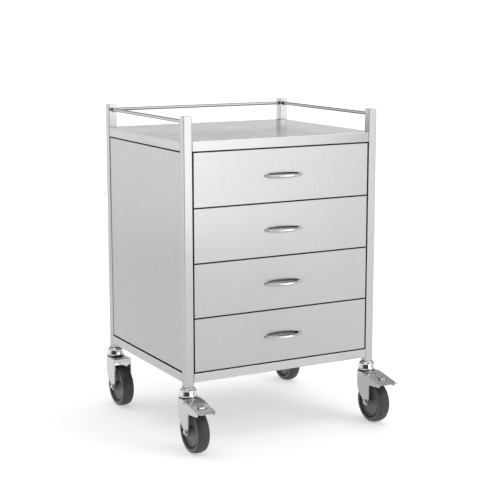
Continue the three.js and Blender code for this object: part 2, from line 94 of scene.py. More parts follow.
class Shader:
    """A Principled material and short calls for the nodes that feed it."""

    def __init__(self, name, color, metallic, roughness):
        self.material = bpy.data.materials.new(name)
        self.material.use_nodes = True
        self.tree = self.material.node_tree
        self.principled = self.tree.nodes["Principled BSDF"]
        self.set("Base Color", (*color, 1))
        self.set("Metallic", metallic)
        self.set("Roughness", roughness)
        self.place = self.node("ShaderNodeTexCoord").outputs["Object"]

    def set(self, socket, value):
        self.principled.inputs[socket].default_value = value

    def link(self, output, socket):
        self.tree.links.new(output, socket)

    def node(self, kind, **settings):
        made = self.tree.nodes.new(kind)
        for key, value in settings.items():
            setattr(made, key, value)
        return made

    def noise(self, scale, stretch=(1, 1, 1), detail=3.0, rough=0.55, shift=(0, 0, 0)):
        """Noise in object space: scale features per metre, more along an axis with a larger stretch."""
        mapping = self.node("ShaderNodeMapping")
        mapping.inputs["Scale"].default_value = stretch
        mapping.inputs["Location"].default_value = shift
        self.link(self.place, mapping.inputs["Vector"])
        noise = self.node("ShaderNodeTexNoise")
        noise.inputs["Scale"].default_value = scale
        noise.inputs["Detail"].default_value = detail
        noise.inputs["Roughness"].default_value = rough
        self.link(mapping.outputs["Vector"], noise.inputs["Vector"])
        return noise.outputs["Fac"]

    def ramp(self, value, low, high, out_low, out_high):
        node = self.node("ShaderNodeMapRange")
        node.inputs["From Min"].default_value = low
        node.inputs["From Max"].default_value = high
        node.inputs["To Min"].default_value = out_low
        node.inputs["To Max"].default_value = out_high
        self.link(value, node.inputs["Value"])
        return node.outputs["Result"]

    def math(self, operation, a, b):
        node = self.node("ShaderNodeMath", operation=operation)
        for value, socket in ((a, node.inputs[0]), (b, node.inputs[1])):
            if isinstance(value, (int, float)):
                socket.default_value = value
            else:
                self.link(value, socket)
        return node.outputs["Value"]

    def edge_wear(self, radius):
        """1 along convex and concave edges, 0 on flat faces."""
        bevel = self.node("ShaderNodeBevel", samples=4)
        bevel.inputs["Radius"].default_value = radius
        geometry = self.node("ShaderNodeNewGeometry")
        dot = self.node("ShaderNodeVectorMath", operation="DOT_PRODUCT")
        self.link(bevel.outputs["Normal"], dot.inputs[0])
        self.link(geometry.outputs["Normal"], dot.inputs[1])
        return self.ramp(dot.outputs["Value"], 1.0, 0.85, 0.0, 1.0)

    def painted_seam_shade(self, reach, depth):
        """Painted shade: 0 on open faces, up to the depth inside the narrow gaps between sheets, where it
        darkens the colour.
        """
        occlusion = self.node("ShaderNodeAmbientOcclusion", samples=4)
        occlusion.inputs["Distance"].default_value = reach
        return self.ramp(occlusion.outputs["AO"], 0.80, 0.35, 0.0, depth)

    def bump(self, height, strength, distance):
        node = self.node("ShaderNodeBump")
        node.inputs["Strength"].default_value = strength
        node.inputs["Distance"].default_value = distance
        self.link(height, node.inputs["Height"])
        self.link(node.outputs["Normal"], self.principled.inputs["Normal"])

    def tint(self, color, factor, spread):
        """Varies the base colour by a factor around its own value."""
        value = self.ramp(factor, 0.25, 0.75, 1 - spread, 1 + spread)
        scale = self.node("ShaderNodeVectorMath", operation="SCALE")
        scale.inputs[0].default_value = color
        self.link(value, scale.inputs["Scale"])
        self.link(scale.outputs["Vector"], self.principled.inputs["Base Color"])


HAIRLINES = 2200        # per metre across the grain
# painted shade in the seams: how far the darkening reaches and how dark it gets
SEAM_REACH = 7 * MM
SEAM_DEPTH = 0.96
GRAIN_STRETCH = {"x": (0.02, 1, 1), "y": (1, 0.02, 1), "z": (1, 1, 0.02)}


def brushed_steel(name, color, roughness, grain, anisotropy=0.7, spread=0.010):
    """Satin stainless sheet: hairline grain along one axis, faint clouding, brighter worn edges, and painted
    shade darkening the seams.
    """
    shader = Shader(name, color, 1.0, roughness)
    tangent = shader.node("ShaderNodeTangent", direction_type="RADIAL", axis=grain.upper())
    shader.link(tangent.outputs["Tangent"], shader.principled.inputs["Tangent"])
    hairlines = shader.noise(HAIRLINES, GRAIN_STRETCH[grain], detail=2)
    clouds = shader.noise(5, (1, 1, 0.45), detail=2)
    smudges = shader.noise(22, (1, 1, 0.3), detail=4, shift=(3, 7, 1))
    wear = shader.edge_wear(1.2 * MM)
    rough = shader.ramp(hairlines, 0.3, 0.7, roughness - 0.03, roughness + 0.03)
    rough = shader.math("ADD", rough, shader.ramp(clouds, 0.3, 0.7, -0.015, 0.015))
    rough = shader.math("ADD", rough, shader.ramp(smudges, 0.4, 0.8, 0.0, 0.012))
    rough = shader.math("SUBTRACT", rough, shader.math("MULTIPLY", wear, 0.08))
    shader.link(rough, shader.principled.inputs["Roughness"])
    tone = shader.math("ADD", shader.ramp(hairlines, 0.3, 0.7, -spread, spread),
                       shader.ramp(clouds, 0.3, 0.7, -spread, spread))
    tone = shader.math("ADD", tone, shader.math("MULTIPLY", wear, 0.05))
    # painted shade: the base colour darkens in the narrow gaps between sheets
    tone = shader.math("SUBTRACT", tone, shader.painted_seam_shade(SEAM_REACH, SEAM_DEPTH / 2))
    shader.tint(color, shader.math("ADD", tone, 0.5), 0.5)
    shader.bump(hairlines, 0.03, 0.1 * MM)
    shader.set("Anisotropic", anisotropy)
    return shader.material


def plain_metal(name, color, roughness, mottling, scale):
    """Plated or polished metal with small soft differences in gloss."""
    shader = Shader(name, color, 1.0, roughness)
    mottle = shader.noise(scale, detail=4)
    wear = shader.edge_wear(0.8 * MM)
    rough = shader.ramp(mottle, 0.3, 0.7, roughness - mottling, roughness + mottling)
    rough = shader.math("SUBTRACT", rough, shader.math("MULTIPLY", wear, 0.03))
    shader.link(rough, shader.principled.inputs["Roughness"])
    shader.tint(color, mottle, mottling * 0.5)
    shader.bump(mottle, 0.05, 0.2 * MM)
    return shader.material


def matt_surface(name, color, roughness, scale, spread, bump, coat=0.0):
    """Rubber, resin or powder coat: fine texture, dusty tone changes, rubbed edges."""
    shader = Shader(name, color, 0.0, roughness)
    grain = shader.noise(scale, detail=5)
    dust = shader.noise(scale / 40, detail=3, shift=(2, 5, 9))
    wear = shader.edge_wear(1.0 * MM)
    rough = shader.ramp(dust, 0.3, 0.7, roughness - 0.06, roughness + 0.06)
    shader.link(rough, shader.principled.inputs["Roughness"])
    tone = shader.math("ADD", dust, shader.math("MULTIPLY", wear, 0.2))
    shader.tint(color, tone, spread)
    shader.bump(grain, bump, 0.15 * MM)
    shader.set("Coat Weight", coat)
    return shader.material


TUBE_TONE = (0.470, 0.472, 0.472)
SHEET_TONE = (0.460, 0.462, 0.462)
# painted shade: the top panel is the same sheet as the rest, given a darker tone
TOP_TONE = (0.400, 0.402, 0.403)
MATERIALS = {
    "satin_tube": brushed_steel("satin_tube", TUBE_TONE, 0.26, "z"),
    "satin_tube_x": brushed_steel("satin_tube_x", TUBE_TONE, 0.26, "x"),
    "satin_tube_y": brushed_steel("satin_tube_y", TUBE_TONE, 0.26, "y"),
    # painted shade: the guard rails are the same steel as the posts, given a darker tone, the rear rail
    # darkest, so that they stand out against the pale backdrop
    "rod_steel_x": brushed_steel("rod_steel_x", (0.30, 0.302, 0.304), 0.24, "x"),
    "rod_steel_y": brushed_steel("rod_steel_y", (0.42, 0.422, 0.424), 0.24, "y"),
    "satin_sheet": brushed_steel("satin_sheet", SHEET_TONE, 0.28, "z"),
    "satin_sheet_x": brushed_steel("satin_sheet_x", TOP_TONE, 0.20, "x"),
    # painted shade: the base panel is the same sheet, made dark and dull for the shade under the cabinet
    "painted_shade_sheet": brushed_steel("painted_shade_sheet", (0.26, 0.26, 0.26), 0.45, "x"),
    "pull_steel": plain_metal("pull_steel", (0.72, 0.72, 0.72), 0.16, 0.04, 300),
    # painted shade: the hollow inside a pull is the same steel as its lip, made darker and duller
    "pull_inside": plain_metal("pull_inside", (0.40, 0.40, 0.40), 0.5, 0.05, 300),
    "pedal_steel": plain_metal("pedal_steel", (0.44, 0.45, 0.46), 0.20, 0.03, 120),
    "polished_chrome": plain_metal("polished_chrome", (0.72, 0.73, 0.74), 0.06, 0.02, 200),
    "zinc_steel": plain_metal("zinc_steel", (0.58, 0.59, 0.60), 0.16, 0.03, 120),
    "runner_coat": matt_surface("runner_coat", (0.70, 0.71, 0.72), 0.42, 2500, 0.03, 0.1),
    "tyre_rubber": matt_surface("tyre_rubber", (0.038, 0.039, 0.041), 0.55, 1800, 0.15, 0.3),
    # painted light: the side ring is smoother rubber than the tread, and its lighter tone is painted light
    # falling on the wheel's side
    "tyre_ring": matt_surface("tyre_ring", (0.085, 0.087, 0.090), 0.42, 1500, 0.12, 0.2),
    "seal_rubber": matt_surface("seal_rubber", (0.02, 0.02, 0.02), 0.5, 1500, 0.10, 0.2),
    "core_resin": matt_surface("core_resin", (0.125, 0.128, 0.134), 0.45, 1200, 0.10, 0.15),
}
SLOTS = {row["node"]: row["material_slot"] for row in frame["record"]["subparts"]}
LYING_GRAIN = {
    "bottom_rail_front": "x", "bottom_rail_rear": "x", "guard_rail_rear": "x", "top_panel": "x",
    "bottom_rail_left": "y", "bottom_rail_right": "y",
    "guard_rail_left": "y", "guard_rail_right": "y",
}


def finish_of(node):
    """The material of a CAD node: its slot's, with the grain along the node where that lies down."""
    slot = SLOTS[node]
    # painted shade: the base panel takes a darker, duller copy of the sheet steel
    if node == "base_panel":
        return MATERIALS["painted_shade_sheet"]
    return MATERIALS[f"{slot}_{LYING_GRAIN[node]}" if node in LYING_GRAIN else slot]


# ---------------------------------------------------------------- CAD nodes that stay

def soften(node):
    """Rounds the sharp edges of a CAD node with modifiers only."""
    weld = node.modifiers.new("weld", "WELD")
    weld.merge_threshold = WELD_DISTANCE
    flat = node.modifiers.new("flat", "DECIMATE")
    flat.decimate_type = "DISSOLVE"
    flat.angle_limit = math.radians(0.5)
    bevel = node.modifiers.new("bevel", "BEVEL")
    bevel.width = SHEET_EDGE
    bevel.segments = 2
    bevel.limit_method = "ANGLE"
    bevel.angle_limit = SHARP_ANGLE
    normals = node.modifiers.new("normals", "WEIGHTED_NORMAL")
    normals.keep_sharp = True


for name, node in nodes.items():
    soften(node)
    node.data.materials.clear()
    node.data.materials.append(finish_of(name))


# ---------------------------------------------------------------- mesh building

def rounded(points, radius, steps=5):
    """A closed outline with its corners rounded. A point may carry its own radius as a third value."""
    made = []
    for index, point in enumerate(points):
        corner = Vector(point[:2])
        back = Vector(points[index - 1][:2]) - corner
        ahead = Vector(points[(index + 1) % len(points)][:2]) - corner
        size = point[2] if len(point) > 2 else radius
        half = back.angle(ahead) / 2
        reach = min(size / math.tan(half), 0.49 * back.length, 0.49 * ahead.length)
        if size <= 0 or abs(half - math.pi / 2) < 0.01:
            made.append(tuple(corner))
            continue
        start, end = corner + back.normalized() * reach, corner + ahead.normalized() * reach
        for step in range(steps + 1):
            t = step / steps
            made.append(tuple((1 - t) ** 2 * start + 2 * t * (1 - t) * corner + t * t * end))
    return made


def arc(centre, radius, start, end, steps):
    """Points of an arc, angles in degrees."""
    angles = [math.radians(start + (end - start) * step / steps) for step in range(steps + 1)]
    return [(centre[0] + radius * math.cos(a), centre[1] + radius * math.sin(a)) for a in angles]


FIT = 0.3 * MM          # gap between pieces that fit together

AXIS_POINT = {
    "x": lambda along, a, b: (along, a, b),
    "y": lambda along, a, b: (a, along, b),
    "z": lambda along, a, b: (a, b, along),
}


def prism(outline, axis, low, high):
    """A closed outline in the two other axes, in their order, drawn out along an axis."""
    bm = bmesh.new()
    point_at = AXIS_POINT[axis]
    rings = [[bm.verts.new(point_at(along, *point)) for point in outline] for along in (low, high)]
    bm.faces.new(rings[0])
    bm.faces.new(rings[1])
    for index in range(len(outline)):
        bm.faces.new((rings[0][index - 1], rings[0][index], rings[1][index], rings[1][index - 1]))
    bmesh.ops.recalc_face_normals(bm, faces=bm.faces)
    return bm


def lathe(profile, axis, centre, steps=64):
    """A closed profile of (radius, place along the axis) turned round the axis through centre."""
    bm = bmesh.new()
    point_at = AXIS_POINT[axis]
    middle_point = Vector(centre)
    rings = []
    for step in range(steps):
        turn = 2 * math.pi * step / steps
        ring = []
        for radius, along in profile:
            spot = point_at(along, radius * math.cos(turn), radius * math.sin(turn))
            ring.append(bm.verts.new(Vector(spot) + middle_point))
        rings.append(ring)
    for step in range(steps):
        for index in range(len(profile)):
            corners = (rings[step - 1][index - 1], rings[step - 1][index],
                       rings[step][index], rings[step][index - 1])
            bm.faces.new(corners)
    bmesh.ops.remove_doubles(bm, verts=bm.verts, dist=1e-7)
    bmesh.ops.recalc_face_normals(bm, faces=bm.faces)
    return bm


def box_mesh(low, high):
    """A block between two corners."""
    corners = [(low[0], low[1]), (high[0], low[1]), (high[0], high[1]), (low[0], high[1])]
    return prism(corners, "z", low[2], high[2])


def as_object(name, bm, material=None):
    mesh = bpy.data.meshes.new(name)
    bm.to_mesh(mesh)
    bm.free()
    made = bpy.data.objects.new(name, mesh)
    bpy.context.scene.collection.objects.link(made)
    if material is not None:
        mesh.materials.append(material)
    return made


def carve(target, tools, operation="DIFFERENCE"):
    """Joins to, cuts from or keeps of the target the shapes of the tools, which are used up."""
    helpers = [as_object("tool", tool) if isinstance(tool, bmesh.types.BMesh) else tool for tool in tools]
    for helper in helpers:
        boolean = target.modifiers.new("boolean", "BOOLEAN")
        boolean.operation = operation
        boolean.solver = "EXACT"
        boolean.material_mode = "TRANSFER" if helper.data.materials else "INDEX"
        boolean.object = helper
    bpy.context.view_layer.update()
    before = target.data
    mesh = bpy.data.meshes.new_from_object(target.evaluated_get(bpy.context.evaluated_depsgraph_get()))
    target.modifiers.clear()
    target.data = mesh
    mesh.name = target.name
    bpy.data.meshes.remove(before)
    for helper in helpers:
        bpy.data.objects.remove(helper)
    return target


def round_edges(made, width, segments=2, angle=SHARP_ANGLE):
    """Rounded edges and even shading for a piece."""
    made.data.polygons.foreach_set("use_smooth", [True] * len(made.data.polygons))
    if width:
        bevel = made.modifiers.new("bevel", "BEVEL")
        bevel.width = width
        bevel.segments = segments
        bevel.limit_method = "ANGLE"
        bevel.angle_limit = angle
        bevel.harden_normals = False
    made.data.set_sharp_from_angle(angle=math.radians(40))
    normals = made.modifiers.new("normals", "WEIGHTED_NORMAL")
    normals.keep_sharp = False
    return made


def place(made, body, *stands_for):
    """Rides the piece on its body and hides the CAD nodes it stands for."""
    if stands_for:
        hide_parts(*stands_for)
    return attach(made, body)


def middle(node):
    low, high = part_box(node)
    return (low + high) / 2


# ---------------------------------------------------------------- casters

CORNERS = ("front_left", "front_right", "rear_left", "rear_right")

# tyre and core, from the middle of the wheel
TREAD_FLAT = 12 * MM
SHOULDER_DROP = 2.4 * MM
SHOULDER_INSET = 2.6 * MM
RING_OUTER = 5.2 * MM          # smooth side ring, below the tread
RING_INNER = 13.2 * MM
GROOVE_DEPTH = 5.5 * MM
WHEEL_STEPS = 96
DISC_RECESS = 2.5 * MM
DISC_RIM = 2.6 * MM
HUB_RADIUS = 13 * MM
AXLE_RADIUS = 4 * MM


def tyre(corner):
    node = f"caster_{corner}_tyre"
    low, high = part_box(node)
    core_low, core_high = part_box(f"caster_{corner}_wheel_core")
    half, radius = (high.x - low.x) / 2, (high.z - low.z) / 2
    bore = (core_high.z - core_low.z) / 2 + FIT
    side = [
        (bore, GROOVE_DEPTH - half, 0), (radius - RING_INNER - 1.4 * MM, GROOVE_DEPTH - half, 0.6 * MM),
        (radius - RING_INNER, 0.4 * MM - half, 0.8 * MM), (radius - RING_OUTER, -half, 0.7 * MM),
        (radius - RING_OUTER + 0.4 * MM, 1.3 * MM - half, 0.5 * MM),
        (radius - SHOULDER_DROP, SHOULDER_INSET - half, 3.5 * MM), (radius, -TREAD_FLAT / 2, 8 * MM),
    ]
    profile = side + [(point[0], -point[1], point[2]) for point in reversed(side)]
    bm = lathe(rounded(profile, 0, 4), "x", (low + high) / 2, WHEEL_STEPS)
    made = as_object(node + "_tread", bm, MATERIALS["tyre_rubber"])
    made.data.materials.append(MATERIALS["tyre_ring"])
    axle = (low + high) / 2
    # the side ring takes the lighter rubber, which is painted light
    for face in made.data.polygons:
        spread = math.hypot(face.center.y - axle.y, face.center.z - axle.z)
        if radius - RING_INNER - 0.2 * MM < spread < radius - RING_OUTER:
            face.material_index = 1
    return place(round_edges(made, 0), f"wheel_{corner}", node)


def wheel_core(corner):
    node = f"caster_{corner}_wheel_core"
    low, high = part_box(node)
    radius, hub_half = (high.z - low.z) / 2, (high.x - low.x) / 2
    face = hub_half - 10.5 * MM
    disc = face - DISC_RECESS
    bore = AXLE_RADIUS + FIT
    side = [
        (bore, -hub_half, 0), (HUB_RADIUS - 3 * MM, -hub_half, 1 * MM),
        (HUB_RADIUS, -disc - 2.5 * MM, 1.5 * MM),
        (HUB_RADIUS + 5 * MM, -disc + 0.6 * MM, 3 * MM), (radius - 9 * MM, -disc + 1.2 * MM, 3 * MM),
        (radius - DISC_RIM - 1 * MM, -disc, 1 * MM), (radius - DISC_RIM, -face, 0.6 * MM),
        (radius, -face, 0.5 * MM),
    ]
    profile = side + [(point[0], -point[1], point[2]) for point in reversed(side)]
    bm = lathe(rounded(profile, 0, 4), "x", (low + high) / 2, WHEEL_STEPS)
    made = as_object(node + "_disc", bm, MATERIALS["core_resin"])
    return place(round_edges(made, 0), f"wheel_{corner}", node)


# bearing cup and its black seal
SEAL_HEIGHT = 3 * MM
CUP_WALL = 3 * MM
CUP_TAPER = 3.2 * MM
CUP_TOP_RADIUS = 18.4 * MM
STEM_LENGTH = 45 * MM
STEM_RADIUS = 9.5 * MM


def cup_levels(corner):
    """Swivel axis, radius, underside and top of a bearing cup."""
    low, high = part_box(f"caster_{corner}_cup")
    centre = (low + high) / 2
    centre.z = 0
    top = high.z - STEM_LENGTH
    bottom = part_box("post_" + corner)[0].z - 24.5 * MM
    return centre, (high.x - low.x) / 2, bottom, top


def bearing_cup(corner):
    centre, radius, bottom, top = cup_levels(corner)
    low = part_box(f"caster_{corner}_cup")[0].z
    profile = [
        (0, low, 0), (9 * MM, low, 1 * MM), (9 * MM, low + 3.6 * MM, 0.3 * MM), (6 * MM, low + 3.6 * MM, 0),
        (6 * MM, top - 2 * CUP_WALL, 0), (radius - CUP_WALL, top - 2 * CUP_WALL, 1 * MM),
        (radius - CUP_WALL, bottom, 0.5 * MM), (radius, bottom, 0.9 * MM),
        (radius, bottom + 2.5 * MM, 1 * MM), (radius - 0.9 * MM, bottom + 3.5 * MM, 0.8 * MM),
        (radius - CUP_TAPER, top - 7 * MM, 3 * MM), (CUP_TOP_RADIUS, top - 0.6 * MM, 2 * MM),
        (13.5 * MM, top, 1 * MM), (STEM_RADIUS, top, 0), (STEM_RADIUS, top + STEM_LENGTH, 1.5 * MM),
        (0, top + STEM_LENGTH, 0),
    ]
    bm = lathe(rounded(profile, 0, 4), "z", centre, 64)
    made = as_object(f"caster_{corner}_bell", bm, MATERIALS["polished_chrome"])
    return place(round_edges(made, 0), "frame", f"caster_{corner}_cup")


def seal_ring(corner):
    """Black dust seal between the cup and the fork, which turns with the fork."""
    centre, radius, bottom, top = cup_levels(corner)
    crown = bottom - SEAL_HEIGHT
    profile = [
        (15.5 * MM, crown + 0.1 * MM, 0), (radius - 1.2 * MM, crown + 0.1 * MM, 0.6 * MM),
        (radius - 1.0 * MM, bottom - 0.3 * MM, 0.6 * MM), (15.5 * MM, bottom - 0.3 * MM, 0),
    ]
    bm = lathe(rounded(profile, 0, 4), "z", centre, 64)
    made = as_object(f"caster_{corner}_seal", bm, MATERIALS["seal_rubber"])
    return place(round_edges(made, 0), f"caster_{corner}")


# fork, from its swivel axis
FORK_STEEL = 2.8 * MM
CROWN_ROUND = 6 * MM
HOOD_DROP = 28 * MM
HOOD_TAPER = 6 * MM
LEG_HEEL = 5 * MM
LEG_HEEL_HEIGHT = 19 * MM
LEG_LEAD = 16 * MM
LEG_TOE_HEIGHT = 14 * MM
EYE_RADIUS = 11 * MM
ARM_DROP = 17 * MM
ARM_TIP = 11 * MM
ARM_ROOT = 33 * MM
ARM_START = 28 * MM
CROWN_FLANGE = 9 * MM
RACE_HEIGHT = 12 * MM
EMBOSS = 0.6 * MM
EMBOSS_INSET = 4 * MM


def horseshoe(centre, radius, reach, low, high, crown_round):
    """Two straight legs joined by a half round at the rear, with a rounded upper edge all round."""
    outline = arc((centre.x, centre.y), radius, 0, 180, 32)
    outline += [(centre.x - radius, centre.y - reach), (centre.x + radius, centre.y - reach)]
    bm = prism(outline, "z", low, high)
    rim = [edge for edge in bm.edges if all(abs(v.co.z - high) < 1e-6 for v in edge.verts)
           and any(v.co.y > centre.y - reach + 1e-6 for v in edge.verts)]
    bmesh.ops.bevel(bm, geom=rim, offset=crown_round, segments=6, profile=0.5, affect="EDGES",
                    clamp_overlap=True)
    return bm


def leg_outline(axle, crown_top, reach, braked, inset=0.0):
    """The fork from the side, in Y and Z from its swivel axis."""
    trail, height = axle
    rear = 30 * MM
    eye = EYE_RADIUS - inset
    hood = crown_top - FORK_STEEL - HOOD_DROP + inset
    front = trail - LEG_LEAD + inset
    points = [
        (rear, crown_top - inset, 0), (rear, hood, 4 * MM), (rear / 2, hood - HOOD_TAPER, 18 * MM),
        (-LEG_HEEL - inset, height + LEG_HEEL_HEIGHT, 10 * MM),
    ]
    points += [(y, z, 0) for y, z in arc((trail, height), eye, 0, -180, 14)]
    points += [(front, height + LEG_TOE_HEIGHT, 6 * MM)]
    if braked:
        points += [
            (front, crown_top - ARM_ROOT + inset, 7 * MM),
            (-reach + 2 * FORK_STEEL, crown_top - ARM_DROP - ARM_TIP + inset, 4 * MM),
            (-reach + inset, crown_top - ARM_DROP, 2 * MM), (-ARM_START, crown_top - inset, 30 * MM),
        ]
    else:
        points += [(front, crown_top - inset, 5 * MM)]
    return rounded(points, 0, 6)


def fork(corner):
    node = f"caster_{corner}_fork"
    low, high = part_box(node)
    centre = cup_levels(corner)[0]
    wheel = middle(f"caster_{corner}_tyre")
    braked = corner.startswith("front")
    outer = (high.x - low.x) / 2
    inner = outer - FORK_STEEL
    crown_top = high.z - RACE_HEIGHT
    reach = centre.y - low.y
    trail = wheel.y - centre.y
    shell = horseshoe(centre, outer, reach + 1 * MM, low.z - 1 * MM, crown_top, CROWN_ROUND)
    made = as_object(node + "_steel", shell, MATERIALS["zinc_steel"])
    carve(made, [horseshoe(centre, inner, reach + 5 * MM, low.z - 5 * MM, crown_top - FORK_STEEL,
                           CROWN_ROUND - FORK_STEEL)])
    side = [(centre.y + y, z) for y, z in leg_outline((trail, wheel.z), crown_top, reach, braked)]
    carve(made, [prism(side, "x", centre.x - outer - 5 * MM, centre.x + outer + 5 * MM)], "INTERSECT")
    if braked:
        crown_front = centre.y - ARM_START + 4 * MM
        carve(made, [box_mesh((centre.x - inner, centre.y - reach - 9 * MM, crown_top - 3 * FORK_STEEL),
                              (centre.x + inner, crown_front, crown_top + 1 * MM))])
    else:
        front = centre.y - reach
        flange = box_mesh((centre.x - outer + 1 * MM, front, crown_top - FORK_STEEL - CROWN_FLANGE),
                          (centre.x + outer - 1 * MM, front + FORK_STEEL, crown_top - 1 * MM))
        carve(made, [flange], "UNION")
    contour = leg_outline((trail, wheel.z), crown_top, reach, braked, EMBOSS_INSET)
    for way in (-1, 1):
        raised = [(centre.y + y, z) for y, z in contour]
        near, far = centre.x + way * (outer - EMBOSS), centre.x + way * (outer + 5 * MM)
        rim = as_object("rim", prism(side, "x", min(near, far), max(near, far)))
        carve(rim, [prism(raised, "x", min(near, far) - 1 * MM, max(near, far) + 1 * MM)])
        carve(made, [rim])
    race = [(14 * MM, crown_top - 1 * MM, 0), (18 * MM, crown_top - 1 * MM, 0),
            (18 * MM, crown_top + RACE_HEIGHT, 1 * MM), (14 * MM, crown_top + RACE_HEIGHT, 0)]
    carve(made, [lathe(rounded(race, 0, 3), "z", centre, 48)], "UNION")
    hole = [(0, crown_top - 9 * MM), (6.6 * MM, crown_top - 9 * MM), (6.6 * MM, crown_top + 20 * MM),
            (0, crown_top + 20 * MM)]
    axle_bore = AXLE_RADIUS + FIT
    axle_hole = [(0, low.x - 5 * MM - wheel.x), (axle_bore, low.x - 5 * MM - wheel.x),
                 (axle_bore, high.x + 5 * MM - wheel.x), (0, high.x + 5 * MM - wheel.x)]
    holes = [lathe(hole, "z", centre, 32), lathe(axle_hole, "x", wheel, 32)]
    if braked:
        pin = PIVOT_RADIUS + FIT
        wide = 2 * outer
        pivot = Vector((centre.x, centre.y - PIVOT_FORWARD, crown_top - PIVOT_DROP))
        holes.append(lathe([(0, -wide), (pin, -wide), (pin, wide), (0, wide)], "x", pivot, 32))
    carve(made, holes)
    return place(round_edges(made, 0.5 * MM, 2), f"caster_{corner}", node)


# axle bolt
HEAD_RADIUS = 7 * MM
WASHER_RADIUS = 8.4 * MM


def hexagon(radius, turn=0):
    return [(radius * math.cos(math.radians(60 * k + turn)), radius * math.sin(math.radians(60 * k + turn)))
            for k in range(6)]


def axle_bolt(corner):
    """Bolt with a chamfered hexagon head, a washer at each leg and a nut with the thread end showing."""
    node = f"caster_{corner}_axle_bolt"
    low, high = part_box(node)
    centre = (low + high) / 2
    half = (high.x - low.x) / 2
    seat = half - 5 * MM
    shaft = [(0, -half + 2 * MM, 0), (AXLE_RADIUS, -half + 2 * MM, 0.6 * MM),
             (AXLE_RADIUS, half - 0.1 * MM, 1 * MM), (0, half - 0.1 * MM, 0)]
    made = as_object(node + "_hex", lathe(rounded(shaft, 0, 3), "x", centre, 24), MATERIALS["zinc_steel"])
    for way in (-1, 1):
        flats = [(centre.y + y, centre.z + z) for y, z in hexagon(HEAD_RADIUS, 15)]
        near, far = centre.x + way * seat, centre.x + way * (half - (0.2 if way < 0 else 1.6) * MM)
        dome = [(0, way * (seat - 1 * MM), 0), (HEAD_RADIUS, way * (seat - 1 * MM), 0),
                (HEAD_RADIUS, way * (seat + 2.6 * MM), 0),
                (HEAD_RADIUS - 1.4 * MM, way * half, 0), (0, way * half, 0)]
        head = as_object("head", prism(flats, "x", min(near, far), max(near, far)))
        carve(head, [lathe(rounded(dome, 0, 3), "x", centre, 32)], "INTERSECT")
        washer_hole = AXLE_RADIUS - 1 * MM
        inward, outward = way * (seat - 0.28 * MM), way * (seat + 0.9 * MM)
        washer = [(washer_hole, inward, 0), (WASHER_RADIUS, inward, 0.2 * MM),
                  (WASHER_RADIUS, outward, 0.3 * MM), (washer_hole, outward, 0)]
        carve(made, [head, lathe(rounded(washer, 0, 3), "x", centre, 32)], "UNION")
    return place(round_edges(made, 0.25 * MM, 2), f"caster_{corner}", node)


# brake pedal, from the swivel axis
PEDAL_STEEL = 2.2 * MM
PEDAL_LIP = 20 * MM
PEDAL_LIP_RISE = 5 * MM
TONGUE_HALF = 9 * MM
TONGUE_RISE = 1.5 * MM
SLOT_WIDTH = 4 * MM
SLOT_LENGTH = 30 * MM
LUG_LENGTH = 32 * MM
PIVOT_FORWARD = 31 * MM
PIVOT_DROP = 7.5 * MM
PIVOT_RADIUS = 3 * MM


